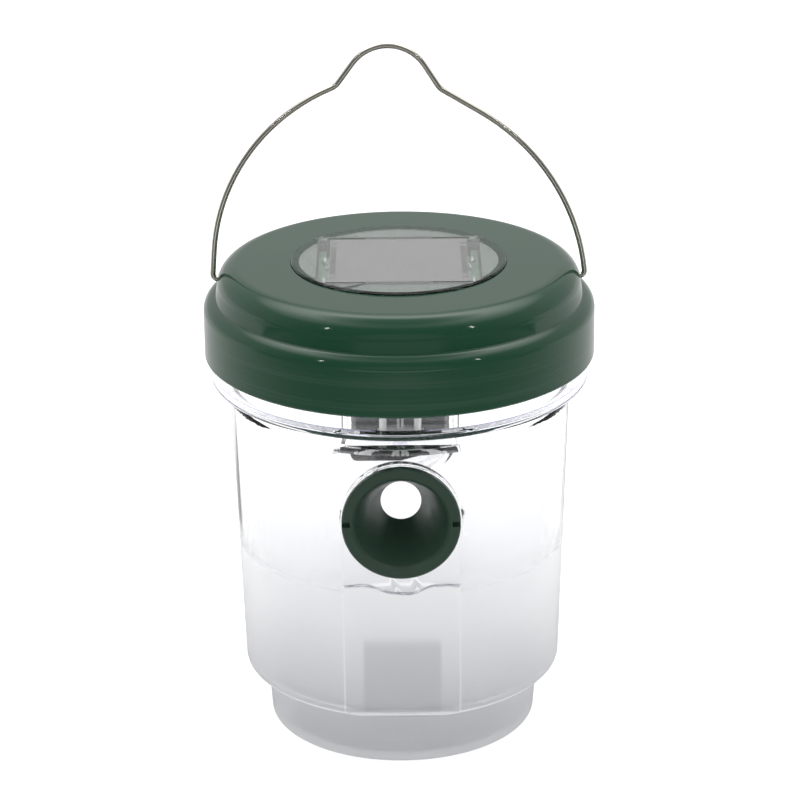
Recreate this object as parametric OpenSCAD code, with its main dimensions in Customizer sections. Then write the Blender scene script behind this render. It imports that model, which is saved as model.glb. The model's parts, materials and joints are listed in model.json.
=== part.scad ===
// Solar wasp trap: a clear jar with a twist-in entrance funnel, and a round lid that carries
// a solar cell, a battery and an ultraviolet lure lamp on its underside.
// The origin is the centre of the jar's foot, +Z is up and the funnel faces -Y.

/* [Jar] */
// Outer radius of the jar just under its collar
jar_r = 54.8; // [46:0.1:66]
// Taper of the jar's side wall, in degrees
jar_draft = 1.75; // [0.5:0.05:2.5]
// Wall thickness of the jar
jar_wall = 1.8; // [1.2:0.1:2.4]
// Height of the ledge where the jar narrows to its foot
ledge_z = 18.9; // [14:0.1:24]
// Radius of the foot where it stands on the ground
foot_r = 43.7; // [38:0.1:45]
// Rounding of the jar's side into the ledge
ledge_fillet = 2.8; // [1:0.1:4]
// Rounding of the foot's lower edge
foot_fillet = 1.6; // [0.8:0.1:2.5]
// Height of the collar's lower edge
collar_z = 118; // [100:0.5:142]
// Step from the jar's side out to the collar
collar_step = 5.6; // [4:0.1:8]
// Height of the collar
collar_h = 11; // [10:0.5:14]
// Step from the collar back in to the neck
neck_step = 2; // [1.7:0.1:2.6]
// Height of the neck above the collar
neck_h = 13.4; // [11:0.1:16]
// Distance from the jar's round side in to its flat front panel
panel_inset = 3.3; // [2.5:0.1:4]
// Distance from the collar down to the top of the flat panel
panel_drop = 7; // [4:0.5:10]

/* [Entrance funnel] */
// Distance from the top of the flat panel down to the funnel's axis
funnel_drop = 23.2; // [20:0.1:30]
// Distance that the flange reaches out past the hole in the jar
flange_lap = 2.4; // [1.6:0.1:3.6]
// Thickness of the flange
flange_t = 2.4; // [1.6:0.1:3.2]
// Radius of the funnel's mouth
mouth_r = 14.3; // [12:0.1:17.6]
// Radius of the hole at the funnel's narrow end
throat_r = 6.4; // [5:0.05:8]
// Depth of the funnel behind its front face
funnel_depth = 19.6; // [14:0.1:25]
// Wall thickness of the cone
funnel_wall = 1.4; // [1:0.1:1.6]
// Thickness of the funnel's round shank where it turns in the jar
spigot_wall = 1.72; // [1.5:0.02:2.2]
// Radial running clearance of the funnel in that hole
port_gap = 0.08; // [0.02:0.01:0.1]
// Distance that the port's ring stands out from the flat panel
port_proud = 0.9; // [0.6:0.1:1.6]
// Twist that takes the funnel's lugs from locked to their keyways
keyway_turn = 60; // [40:5:80]

/* [Lid] */
// Radial gap between the jar's collar and the lid's skirt
skirt_gap = 0.35; // [0.3:0.05:0.8]
// Wall thickness of the lid
lid_wall = 1.65; // [1.2:0.05:2.2]
// Height of the lid from its lower edge to its flat top
lid_h = 29.8; // [27:0.1:36]
// Distance that the lid's skirt reaches down over the collar
lid_overlap = 2.8; // [1.5:0.1:5]
// Radius of the lower, outer shoulder
low_shoulder_r = 4.6; // [3:0.1:6]
// Radius of the upper shoulder
top_shoulder_r = 7.1; // [5:0.1:8.5]
// Step from the skirt in to the upper wall, between the two shoulders
shoulder_step = 4.45; // [3.5:0.05:5.5]
// Number of locking lugs around the neck
lug_n = 4; // [3:1:6]

/* [Solar window] */
// Radius of the clear round window
window_r = 34.3; // [32:0.1:38]
// Thickness of the window
window_t = 2.2; // [1.6:0.1:3]
// Distance that the window stands above the lid
window_proud = 0.8; // [0.2:0.1:1.2]
// Width of the solar cell
cell_w = 44; // [36:0.5:53]
// Depth of the solar cell from front to back
cell_d = 42.5; // [35:0.5:51]
// Thickness of the solar cell
cell_t = 1.6; // [1:0.1:2]

/* [Lamp and electronics] */
// Height of the electronics housing
housing_h = 37.6; // [34:0.1:42]
// Width of the clear lamp cover
lamp_w = 38; // [30:0.5:44]
// Depth of the lamp cover from front to back
lamp_d = 20; // [16.5:0.5:24]
// Distance that the lamp cover hangs below the housing
lamp_h = 27; // [22:0.5:34]
// Diameter of the rechargeable cell
battery_dia = 10.4; // [8.6:0.1:12.6]
// Length of the rechargeable cell with its button
battery_len = 44.5; // [37:0.1:53.5]
// Travel of the switch knob
switch_travel = 2; // [1.5:0.1:2.5]

/* [Handle] */
// Diameter of the handle's steel wire
wire_d = 1.8; // [1.4:0.1:2.4]
// Height of the top of the handle's hump above its pivots
handle_rise = 75.5; // [60:0.5:95]
// Half the width of the hump at its foot
hump_half_w = 16.2; // [12:0.1:20]
// Sideways shift of the hump in the hand-bent wire
hump_shift = -2.9; // [-4:0.1:4]
// Radial running clearance of the wire in the lid's holes
pivot_gap = 0.05; // [0.02:0.01:0.1]

/* [Hidden] */
$fn = 96;
eps = 0.02;

// Jar: heights and radii that follow from the driving sizes
jar_bottom_r = jar_r - (collar_z - ledge_z) * tan(jar_draft);
foot_top_r = foot_r + 1.2;
floor_t = 2;
collar_r = jar_r + collar_step;
collar_top = collar_z + collar_h;
neck_r = collar_r - neck_step;
neck_top = collar_top + neck_h;
collar_flare = 3.2;
lip_round = 0.8;
panel_top = collar_z - panel_drop;
panel_y = jar_r - panel_inset;
function panel_at(z) = panel_y - (collar_z - z) * tan(jar_draft);

// Entrance port
funnel_z = panel_top - funnel_drop;
spigot_r = mouth_r + spigot_wall;
port_r = spigot_r + port_gap;
flange_r = port_r + flange_lap;
port_face_y = -(panel_at(funnel_z) + port_proud);
ring_r = flange_r + 0.4;
ring_t = 4;
port_back_y = port_face_y + ring_t;
funnel_front_y = port_face_y - flange_t;
tab_gap = 0.2;
tab_t = 1.6;
tab_w = 4.4;
tab_reach = 1.9;
key_gap = 0.3;
notch_h = 1.9;
notch_l = 2.6;
mouth_round = 1.2;

// Lid
lid_bottom = collar_top - lid_overlap;
lid_top = lid_bottom + lid_h;
skirt_in_r = collar_r + skirt_gap;
skirt_r = skirt_in_r + lid_wall;
upper_r = skirt_r - shoulder_step;
low_shoulder_z = neck_top - 1.2;
top_shoulder_z = lid_top - top_shoulder_r;
plateau_r = upper_r - top_shoulder_r;
upper_in_r = upper_r - lid_wall;
seat_gap = 0.2;
seat_z = neck_top + seat_gap;
skirt_edge_round = 0.5;
plate_t = 2;
lug_t = 2.4;
lug_arc = 22;
lug_reach = 1.6;
lug_clear = 0.4;
jar_lug_z = collar_top + 4.2;
lid_lug_z = jar_lug_z - lug_t - 0.3;

// Solar window and what lies under it
window_gap = 0.15;
window_top = lid_top + window_proud;
recess_z = window_top - window_t;
recess_plate_t = 2;
window_seat_w = 2.6;
window_seat_step = 0.2;
lid_under_z = recess_z - recess_plate_t;
frame_gap = 0.75;
cell_gap = 0.3;
frame_side_wall = 2.4;
frame_end_wall = 1.1;
frame_in_w = cell_w + 2;
frame_in_d = cell_d + 0.6;
frame_out_w = frame_in_w + 2 * frame_side_wall;
frame_out_d = frame_in_d + 2 * frame_end_wall;
frame_h = 3;
frame_tab_w = 21;
frame_tab_t = 1;
opening_w = frame_out_w + 2 * frame_gap;
opening_d = frame_out_d + 2 * frame_tab_t + frame_gap;
bar_w = 1.8;
bar_l = 27.7;
bar_inset = 0.3;
bar_t = 0.15;
cell_top = recess_z - 0.1;
cell_z = cell_top - cell_t;

// Battery bay
battery_r = battery_dia / 2;
door_gap = 0.25;
contact_t = 0.4;
spring_l = 4.4;
bay_l = battery_len + 2 * contact_t + spring_l;
bay_rib_t = 1.2;
bay_rib_h = battery_dia + 2;
battery_y = lamp_d / 2 + 2.6 + battery_r;
battery_x0 = -bay_l / 2 + contact_t + spring_l;
battery_x1 = battery_x0 + battery_len;

// Electronics housing
housing_wall = 1.8;
housing_side_gap = 1.15;
housing_back_gap = 2.2;
housing_w = bay_l + 2 * (bay_rib_t + housing_side_gap + housing_wall);
housing_d = 2 * (battery_y + battery_r + housing_back_gap + housing_wall);
housing_top = lid_under_z;
housing_z = housing_top - housing_h;
housing_floor = housing_z + housing_wall;
housing_round = 6;
ear_x = housing_w / 2 + 4.6;
ear_y = housing_d / 2 - 9;
ear_r = 4;
ear_t = 2;
ear_z = housing_top - 6.6;
screw_shank_r = 1.2;
screw_head_r = 2.4;
screw_head_t = 1.5;
screw_gap = 0.05;
screw_l = 6;
cross_w = 0.5;
cross_deep = 0.7;

// Circuit board on its posts
board_w = housing_w - 2 * housing_wall - 3.4;
board_d = 34;
board_t = 1.6;
board_z = housing_top - 4.4;
post_x = board_w / 2 - 2.6;
post_r = 2.2;
post_y = [-14, 6];
pilot_r = 0.8;
board_screw_l = 6;
board_head_r = 1.7;
board_head_t = 1.2;
pad_w = 34;
pad_d = 24;
pad_z = board_z + board_t;
pad_top = cell_z;
chip_size = [5, 4, 1.5];
chip_place = [-9, -4];
coil_r = 3.2;
coil_h = 4.5;
coil_place = [4, -3];
cap_r = 2.5;
cap_h = 7;
cap_place = [12, -8];

// Battery and its contacts, on the floor of the housing
battery_z = housing_floor + battery_r + 0.5;
contact_w = battery_dia - 0.8;
contact_z0 = housing_floor + 0.4;
contact_z1 = housing_floor + bay_rib_h + 0.8;
button_l = 0.9;
button_r = 2.6;
door_w = bay_l - 1;
door_d = battery_dia + 1;
saddle_t = 1.6;
saddle_gap = 0.1;
saddle_x = battery_len / 4;
spring_turns = 3;
spring_wire_r = 0.35;

// Slide switch
switch_y = -housing_d / 2 + housing_wall + 7;
switch_w = 9;
switch_d = 4;
switch_h = 3.6;
knob_w = 1.8;
knob_d = 1.6;
knob_in = 1.4;
knob_out = 1.6;
knob_gap = 0.15;

// Lamp
cover_wall = 1.4;
cover_round = 5;
cover_lip = 1.6;
cover_lip_t = 1.2;
lamp_bottom = housing_z - lamp_h;
holder_gap = 1.2;
holder_w = lamp_w - 2 * cover_wall - 2 * holder_gap;
holder_d = 6.4;
holder_h = lamp_h - 9;
holder_y = lamp_d / 2 - cover_wall - holder_gap - holder_d;
fin_n = 4;
fin_slot = 1.2;
fin_deep = 2;
post_half_x = 5.6;
lamp_post_r = 1.2;
lamp_post_y = -4.2;
led_board_w = 15;
led_board_d = 6.4;
led_board_t = 1.2;
led_r = 2.5;
led_rim_r = 2.9;
led_rim_t = 1;
led_l = 8.6;
led_gap = 0.6;
led_board_z = lamp_bottom + cover_wall + led_gap + led_l;

// Leads
lead_r = 0.45;
lead_pitch = 1.4;
lead_hole_r = 1.6;
lead_hole_y = 3.4;

// Handle wire
wire_r = wire_d / 2;
pin_r = wire_r + 0.03;
pivot_z = lid_top - 5.6;
leg_x = upper_r + 1.3;
pin_in = 6.2;
bend_r = 1.55;
boss_l = 4;
boss_w = 8;
foot_bend_r = 5;
hump_bend_r = 13.5;
hump_lean = 0.7;
left_bow = [3.7, 46.8];
right_bow = [3.9, 36.4];
left_foot_rise = 62.7;
right_foot_rise = 61.7;

// Points on an arc about [x, y] from angle a0 to angle a1
function arc(x, y, r, a0, a1, n = 10) =
    [for (i = [0 : n]) let (a = a0 + (a1 - a0) * i / n) [x + r * cos(a), y + r * sin(a)]];

function unit(v) = v / norm(v);
function half_turn(a, b, c) = acos(unit(a - b) * unit(c - b)) / 2;
function reach(a, b, c, r) = r / tan(half_turn(a, b, c));
function heading(v) = atan2(v[1], v[0]);

pin_end = leg_x - pin_in;
foot_rise = (left_foot_rise + right_foot_rise) / 2;
left_foot = [hump_shift - hump_half_w, left_foot_rise];
right_foot = [hump_shift + hump_half_w, right_foot_rise];
left_knee = [-leg_x + left_bow[0], left_bow[1]];
right_knee = [leg_x - right_bow[0], right_bow[1]];
// Height of the corner that the hump's arc rounds off, so that the arc's top is at handle_rise
function peak_rise(slope) = handle_rise + hump_bend_r * (1 / cos(slope) - 1);
// Slope of the hump's sides, found by repeated substitution
function hump_slope(n) = n == 0 ? 50 : atan((peak_rise(hump_slope(n - 1)) - foot_rise) / hump_half_w);
hump_peak = [hump_shift + hump_lean, peak_rise(hump_slope(8))];
foot_reach = 2.2;
left_reach = min(norm(left_knee - [-leg_x, 0]) - bend_r * 1.3, norm(left_knee - left_foot) - foot_reach);
right_reach = min(norm(right_knee - [leg_x, 0]) - bend_r * 1.3,
                  norm(right_knee - right_foot) - foot_reach);
bends = [[-pin_end, 0], [-leg_x, 0], left_knee, left_foot, hump_peak, right_foot, right_knee,
         [leg_x, 0], [pin_end, 0]];
bend_radii = [0, bend_r, left_reach * tan(half_turn(bends[1], bends[2], bends[3])),
              foot_bend_r, hump_bend_r, foot_bend_r,
              right_reach * tan(half_turn(bends[5], bends[6], bends[7])), bend_r, 0];

// Points along the arc that rounds the corner at bend i
function bend_arc(i) =
    let (a = bends[i - 1], b = bends[i], c = bends[i + 1], r = bend_radii[i],
         along = unit(b - a), out = unit(c - b),
         turn = along[0] * out[1] - along[1] * out[0] > 0 ? 1 : -1,
         side = turn * [-along[1], along[0]],
         centre = b - along * reach(a, b, c, r) + side * r,
         sweep = turn * (180 - 2 * half_turn(a, b, c)),
         start = heading(-side))
    arc(centre[0], centre[1], r, start, start + sweep, max(4, round(abs(sweep) / 7)));
bow = [for (i = [1 : len(bends) - 2]) each bend_arc(i)];

module rounded_plate(w, d, h, r) {
    linear_extrude(h) union() {
        square([w - 2 * r, d], center = true);
        square([w, d - 2 * r], center = true);
        for (x = [-1, 1], y = [-1, 1])
            translate([x * (w / 2 - r), y * (d / 2 - r)]) circle(r);
    }
}

module ring_sector(r_in, r_out, h, a_mid, a_span) {
    rotate([0, 0, a_mid - a_span / 2])
        rotate_extrude(angle = a_span)
            translate([r_in, 0]) square([r_out - r_in, h]);
}

// A round bar along Y from y0 to y1 at the funnel's height
module port_bar(r, y0, y1, r1 = -1) {
    translate([0, y0, funnel_z]) rotate([-90, 0, 0])
        cylinder(r1 = r, r2 = r1 < 0 ? r : r1, h = y1 - y0);
}

// A block on the +X side of the funnel's axis, turned about that axis
module port_tab(r_out, w, y0, y1, a) {
    translate([0, 0, funnel_z]) rotate([0, a, 0])
        translate([0, y0, -w / 2]) cube([r_out, y1 - y0, w]);
}

// ---------------------------------------------------------------- jar
// Everything between the ledge and top_z that is in front of the flat panel, moved in by inset
module panel_cut(inset, top_z) {
    intersection() {
        translate([0, -(panel_y - inset), collar_z]) rotate([jar_draft, 0, 0])
            translate([-jar_r, -jar_r, -collar_z])
                cube([2 * jar_r, jar_r, 2 * collar_z]);
        translate([0, 0, ledge_z]) cylinder(r = jar_r + 2, h = top_z - ledge_z);
    }
}

module jar_outer() {
    rotate_extrude() polygon(concat(
        [[0, 0]],
        arc(foot_r - foot_fillet, foot_fillet, foot_fillet, -90, 0, 6),
        [[foot_top_r, ledge_z]],
        arc(jar_bottom_r - ledge_fillet, ledge_z + ledge_fillet, ledge_fillet, -90, 0, 8),
        [[jar_r, collar_z]],
        arc(collar_r - lip_round, collar_z + lip_round, lip_round, -90, 0, 4),
        [[collar_r, collar_top - 1], [collar_r - 1, collar_top], [neck_r, collar_top],
         [neck_r, neck_top - 0.6], [neck_r - 0.6, neck_top], [0, neck_top]]));
}

module jar_cavity() {
    top_cavity_r = neck_r - jar_wall;
    collar_cavity_r = collar_r - jar_wall;
    ledge_in_z = ledge_z + jar_wall;
    rotate_extrude() polygon(concat(
        [[0, floor_t]],
        arc(foot_r - jar_wall - 2, floor_t + 2, 2, -90, 0, 5),
        [[foot_top_r - jar_wall, ledge_in_z]],
        arc(jar_bottom_r - jar_wall - 2, ledge_in_z + 2, 2, -90, 0, 5),
        [[jar_r - jar_wall, collar_z], [collar_cavity_r, collar_z + collar_flare],
         [collar_cavity_r, collar_top - jar_wall],
         [top_cavity_r, collar_top], [top_cavity_r, neck_top + 1], [0, neck_top + 1]]));
}

module jar() {
    color([0.86, 0.88, 0.92, 0.35]) difference() {
        union() {
            difference() {
                jar_outer();
                panel_cut(0, panel_top);
            }
            port_bar(ring_r, port_face_y, port_back_y);
            for (i = [0 : lug_n - 1])
                translate([0, 0, jar_lug_z])
                    ring_sector(neck_r - 0.5, neck_r + lug_reach, lug_t, i * 360 / lug_n, lug_arc);
        }
        difference() {
            jar_cavity();
            panel_cut(jar_wall, panel_top + jar_wall);
            port_bar(ring_r, port_face_y - 1, port_back_y);
        }
        port_bar(port_r, port_face_y - 5, port_back_y + 5);
        for (s = [0, 180])
            port_tab(spigot_r + tab_reach + key_gap, tab_w + 2 * key_gap, port_face_y - 1,
                     port_back_y + 1, keyway_turn + s);
    }
}

// ---------------------------------------------------------------- entrance funnel
module entrance_funnel() {
    back_y = funnel_front_y + funnel_depth;
    cone_front = funnel_front_y + mouth_round;
    lug_front = port_back_y + tab_gap;
    spigot_back = lug_front + tab_t;
    color([0.12, 0.24, 0.19]) difference() {
        union() {
            port_bar(flange_r, funnel_front_y + 0.5, port_face_y);
            port_bar(flange_r - 0.5, funnel_front_y, funnel_front_y + 0.5, flange_r);
            port_bar(spigot_r, port_face_y, spigot_back);
            port_bar(mouth_r + funnel_wall, port_face_y, back_y, throat_r + funnel_wall);
            for (s = [0, 180])
                port_tab(spigot_r + tab_reach, tab_w, lug_front, spigot_back, s);
        }
        port_bar(mouth_r + mouth_round, funnel_front_y - eps, cone_front, mouth_r);
        port_bar(mouth_r, cone_front, back_y + eps, throat_r);
        // Grip notches in the flange
        for (s = [0, 180])
            translate([0, 0, funnel_z]) rotate([0, s, 0])
                translate([flange_r - notch_l, funnel_front_y - 1, -notch_h / 2])
                    cube([notch_l + 1, flange_t + 1 - eps, notch_h]);
    }
}

// ---------------------------------------------------------------- lid
module lid_outer() {
    rotate_extrude() polygon(concat(
        [[0, lid_bottom], [skirt_r - skirt_edge_round, lid_bottom],
         [skirt_r, lid_bottom + skirt_edge_round]],
        arc(skirt_r - low_shoulder_r, low_shoulder_z, low_shoulder_r, 0, 78, 12),
        arc(plateau_r, top_shoulder_z, top_shoulder_r, 0, 90, 16),
        [[0, lid_top]]));
}

module lid_inner() {
    in_r = top_shoulder_r - lid_wall;
    rotate_extrude() polygon(concat(
        [[0, lid_bottom - 1], [skirt_in_r, lid_bottom - 1], [skirt_in_r, seat_z],
         [upper_in_r, seat_z]],
        arc(plateau_r, lid_top - plate_t - in_r, in_r, 0, 90, 8),
        [[0, lid_top - plate_t]]));
}

module lid() {
    color([0.13, 0.27, 0.2]) difference() {
        union() {
            difference() {
                lid_outer();
                lid_inner();
            }
            intersection() {
                translate([0, 0, lid_under_z]) cylinder(r = window_r + 3, h = plate_t + recess_plate_t);
                lid_outer();
            }
            // Bosses for the housing's screws
            for (x = [-1, 1], y = [-1, 1])
                translate([x * ear_x, y * ear_y, ear_z + ear_t])
                    cylinder(r = ear_r - 0.8, h = lid_top - plate_t + 0.5 - ear_z - ear_t);
            // Bearing blocks for the ends of the handle
            intersection() {
                for (s = [-1, 1])
                    translate([s > 0 ? upper_in_r - boss_l : -upper_in_r - 1,
                               -boss_w / 2, pivot_z - 4])
                        cube([boss_l + 1, boss_w, lid_top - pivot_z + 3]);
                lid_outer();
            }
            // Locking lugs, drawn at the angle where the lid lifts off
            for (i = [0 : lug_n - 1])
                translate([0, 0, lid_lug_z])
                    ring_sector(neck_r + lug_clear, skirt_in_r + 0.3, lug_t,
                                (i + 0.5) * 360 / lug_n, lug_arc);
        }
        // Recess for the window, with a narrow seat round its edge
        translate([0, 0, recess_z]) cylinder(r = window_r + window_gap, h = window_t + 1);
        translate([0, 0, recess_z - window_seat_step])
            cylinder(r = window_r - window_seat_w, h = window_t);
        // Opening for the window's frame, no wider than the window, and for the cell
        translate([0, 0, lid_under_z - 1]) linear_extrude(recess_plate_t + 1 + eps) {
            intersection() {
                square([opening_w, opening_d], center = true);
                circle(window_r);
            }
            square([cell_w + 2 * cell_gap, cell_d + 2 * cell_gap], center = true);
        }
        for (x = [-1, 1], y = [-1, 1])
            translate([x * ear_x, y * ear_y, ear_z])
                cylinder(r = screw_shank_r + screw_gap, h = screw_l);
        translate([-skirt_r, 0, pivot_z]) rotate([0, 90, 0])
            cylinder(r = pin_r + pivot_gap, h = 2 * skirt_r);
    }
}

// ---------------------------------------------------------------- handle
module handle() {
    color([0.62, 0.6, 0.56]) translate([0, 0, pivot_z]) {
        tube([for (p = bow) [p[0], 0, p[1]]], wire_r, [0, 1, 0], 12);
        // Round ends that turn in the lid
        for (s = [0, 180])
            rotate([0, 0, s]) translate([pin_end, 0, 0]) rotate([0, 90, 0])
                cylinder(r = pin_r, h = leg_x - bend_r - pin_end + 0.6);
    }
}

// ---------------------------------------------------------------- solar window and cell
module window_frame() {
    difference() {
        intersection() {
            union() {
                square([frame_out_w, frame_out_d], center = true);
                square([frame_tab_w, frame_out_d + 2 * frame_tab_t], center = true);
            }
            circle(window_r - 0.1);
        }
        square([frame_in_w, frame_in_d], center = true);
    }
}

module solar_window() {
    edge = 0.5;
    color([0.8, 0.85, 0.84, 0.4]) union() {
        translate([0, 0, recess_z]) cylinder(r = window_r, h = window_t - edge);
        translate([0, 0, window_top - edge]) cylinder(r1 = window_r, r2 = window_r - edge, h = edge);
        translate([0, 0, recess_z - frame_h]) linear_extrude(frame_h + eps) window_frame();
    }
}

module solar_cell() {
    color([0.48, 0.47, 0.5]) difference() {
        translate([-cell_w / 2, -cell_d / 2, cell_z]) cube([cell_w, cell_d, cell_t]);
        cell_bars();
    }
}

// Contact bars down both sides of the cell, each with a solder pad before and behind it
module cell_bars() {
    bar_x = cell_w / 2 - bar_inset - bar_w / 2;
    color([0.3, 0.3, 0.31]) for (s = [-1, 1])
        translate([s * bar_x - bar_w / 2, 0, cell_top - bar_t]) {
            translate([0, -bar_l / 2, 0]) cube([bar_w, bar_l, bar_t]);
            for (y = [-1, 1])
                translate([0, y * (bar_l / 2 + 3) - bar_w / 2, 0]) cube([bar_w, bar_w, bar_t]);
        }
}

module cell_pad() {
    color([0.15, 0.15, 0.15]) translate([0, 0, pad_z])
        rounded_plate(pad_w, pad_d, pad_top - pad_z, 2);
}

// ---------------------------------------------------------------- electronics housing
module board_post_places() {
    for (x = [-1, 1], y = post_y)
        translate([x * post_x, y, 0]) children();
}

module ear_places() {
    for (x = [-1, 1], y = [-1, 1])
        translate([x * ear_x, y * ear_y, 0]) children();
}

module housing_shell() {
    difference() {
        translate([0, 0, housing_z]) rounded_plate(housing_w, housing_d, housing_h, housing_round);
        translate([0, 0, housing_floor])
            rounded_plate(housing_w - 2 * housing_wall, housing_d - 2 * housing_wall,
                          housing_h, housing_round - housing_wall);
    }
}

module battery_bay() {
    // End ribs behind the spring and the contact plate
    for (x = [-bay_l / 2 - bay_rib_t, bay_l / 2])
        translate([x, battery_y - battery_r - 0.8, housing_floor - eps])
            cube([bay_rib_t, battery_dia + 1.6, bay_rib_h]);
    // Saddles over the battery
    difference() {
        for (s = [-1, 1])
            translate([s * saddle_x - saddle_t / 2, battery_y - battery_r - 1.5, battery_z])
                cube([saddle_t, housing_d / 2 - battery_y + battery_r + 1, battery_r + 2.5]);
        translate([battery_x0, battery_y, battery_z]) rotate([0, 90, 0])
            cylinder(r = battery_r + saddle_gap, h = battery_len);
    }
}

module module_housing() {
    color([0.16, 0.2, 0.18]) difference() {
        union() {
            housing_shell();
            battery_bay();
            board_post_places()
                translate([0, 0, housing_floor - eps])
                    cylinder(r = post_r, h = board_z - housing_floor + eps);
            ear_places() translate([0, 0, ear_z]) cylinder(r = ear_r, h = ear_t);
            for (x = [-1, 1], y = [-1, 1])
                translate([x > 0 ? housing_w / 2 - 1 : -ear_x, y * ear_y - ear_r, ear_z])
                    cube([ear_x - housing_w / 2 + 1, 2 * ear_r, ear_t]);
        }
        board_post_places()
            translate([0, 0, board_z - board_screw_l])
                cylinder(r = pilot_r + screw_gap, h = board_screw_l + 1);
        ear_places() translate([0, 0, ear_z - 1]) cylinder(r = screw_shank_r + screw_gap, h = ear_t + 2);
        // Opening that the battery door closes
        translate([-door_w / 2 - door_gap, battery_y - door_d / 2 - door_gap, housing_z - 1])
            cube([door_w + 2 * door_gap, door_d + 2 * door_gap, housing_wall + 1 + eps]);
        // Slot for the switch knob
        translate([-knob_w / 2 - switch_travel / 2 - 0.4, switch_y - knob_d / 2 - 0.4, housing_z - 1])
            cube([knob_w + switch_travel + 0.8, knob_d + 0.8, housing_wall + 2]);
        // Hole for the lamp's leads
        translate([0, lamp_post_y + lead_hole_y, housing_z - 1])
            cylinder(r = lead_hole_r, h = housing_wall + 2);
    }
}

// Pan-head screw with a cross recess: its head hangs below the origin and its shank points up
module screw_up(head_r, head_t, shank_r, l) {
    difference() {
        union() {
            translate([0, 0, -head_t]) cylinder(r1 = head_r - 0.5, r2 = head_r, h = head_t / 2);
            translate([0, 0, -head_t / 2]) cylinder(r = head_r, h = head_t / 2);
            translate([0, 0, -eps]) cylinder(r = shank_r, h = l);
        }
        for (a = [0, 90])
            rotate([0, 0, a]) translate([-head_r * 0.6, -cross_w / 2, -head_t - eps])
                cube([head_r * 1.2, cross_w, cross_deep]);
    }
}

module housing_screws() {
    color([0.7, 0.7, 0.72]) ear_places() translate([0, 0, ear_z])
        screw_up(screw_head_r, screw_head_t, screw_shank_r, screw_l);
}

module board_screws() {
    color([0.75, 0.75, 0.76]) board_post_places() translate([0, 0, pad_z]) mirror([0, 0, 1])
        screw_up(board_head_r, board_head_t, pilot_r, board_screw_l);
}

// ---------------------------------------------------------------- circuit board
module circuit_board() {
    color([0.1, 0.35, 0.2]) difference() {
        translate([-board_w / 2, -board_d / 2, board_z]) cube([board_w, board_d, board_t]);
        board_post_places() translate([0, 0, board_z - 1]) cylinder(r = pilot_r + 0.1, h = board_t + 2);
    }
}

module board_components() {
    color([0.1, 0.1, 0.1]) {
        // Driver chip, coil and capacitor on the board's underside
        translate([chip_place[0], chip_place[1], board_z - chip_size[2]]) cube(chip_size);
        translate([coil_place[0], coil_place[1], board_z - coil_h]) cylinder(r = coil_r, h = coil_h);
        translate([cap_place[0], cap_place[1], board_z - cap_h]) cylinder(r = cap_r, h = cap_h);
    }
}

// ---------------------------------------------------------------- battery
module battery() {
    color([0.2, 0.5, 0.3]) translate([battery_x0, battery_y, battery_z]) rotate([0, 90, 0]) {
        cylinder(r = battery_r, h = battery_len - button_l);
        translate([0, 0, battery_len - button_l - eps]) cylinder(r = button_r, h = button_l + eps);
    }
}

// Points of the contact spring's wire: it widens from the battery to the end rib
function spring_point(t) = let (a = 360 * spring_turns * t, r = 1.8 + 2 * t)
    [-t * (spring_l - 2 * spring_wire_r) - spring_wire_r, r * cos(a), r * sin(a)];

// A swept tube of radius r along points that all lie in planes across the direction side_on
function tube_ring(pts, i, r, side_on, n) =
    let (last = len(pts) - 1,
         d = unit(pts[min(i + 1, last)] - pts[max(i - 1, 0)]),
         u = unit(cross(d, side_on)),
         v = cross(d, u))
    [for (k = [0 : n - 1]) pts[i] + r * (cos(360 * k / n) * u + sin(360 * k / n) * v)];

module tube(pts, r, side_on = [1, 0, 0], n = 8) {
    m = len(pts);
    polyhedron(
        points = [for (i = [0 : m - 1]) each tube_ring(pts, i, r, side_on, n)],
        faces = concat(
            [[for (k = [0 : n - 1]) k]],
            [for (i = [0 : m - 2], k = [0 : n - 1])
                [n * i + k, n * (i + 1) + k, n * (i + 1) + (k + 1) % n, n * i + (k + 1) % n]],
            [[for (k = [n - 1 : -1 : 0]) n * (m - 1) + k]]));
}

// Catmull-Rom curve through the listed points, with m steps between each two
function spline_at(p, i, t) =
    let (n = len(p), a = p[max(i - 1, 0)], b = p[i], c = p[min(i + 1, n - 1)], d = p[min(i + 2, n - 1)])
    0.5 * (2 * b + (c - a) * t + (2 * a - 5 * b + 4 * c - d) * t * t
           + (3 * b - a - 3 * c + d) * t * t * t);
function smooth(p, m = 4) =
    concat([for (i = [0 : len(p) - 2], k = [0 : m - 1]) spline_at(p, i, k / m)], [p[len(p) - 1]]);

module battery_spring() {
    steps = 12 * spring_turns;
    color([0.8, 0.8, 0.8]) translate([battery_x0, battery_y, battery_z])
        tube([for (i = [0 : steps]) spring_point(i / steps)], spring_wire_r);
}

// Contact plates: one behind the spring and one at the battery's button
module battery_plate() {
    color([0.8, 0.8, 0.8]) for (x = [-bay_l / 2, battery_x1])
        translate([x, battery_y - contact_w / 2, contact_z0])
            cube([contact_t, contact_w, contact_z1 - contact_z0]);
}

module battery_door() {
    grip_n = 4;
    color([0.16, 0.2, 0.18]) difference() {
        union() {
            translate([-door_w / 2, battery_y - door_d / 2, housing_z])
                cube([door_w, door_d, housing_wall]);
            // Springy latch tongues inside the opening
            for (s = [-1, 1])
                translate([s * (saddle_x + 4) - 2.5, battery_y - door_d / 2, housing_z])
                    cube([5, 0.8, housing_wall + 3]);
        }
        for (i = [0 : grip_n - 1])
            translate([-door_w / 2 + 4 + 2 * i, battery_y - 3, housing_z - eps]) cube([1, 6, 0.6]);
    }
}

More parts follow.
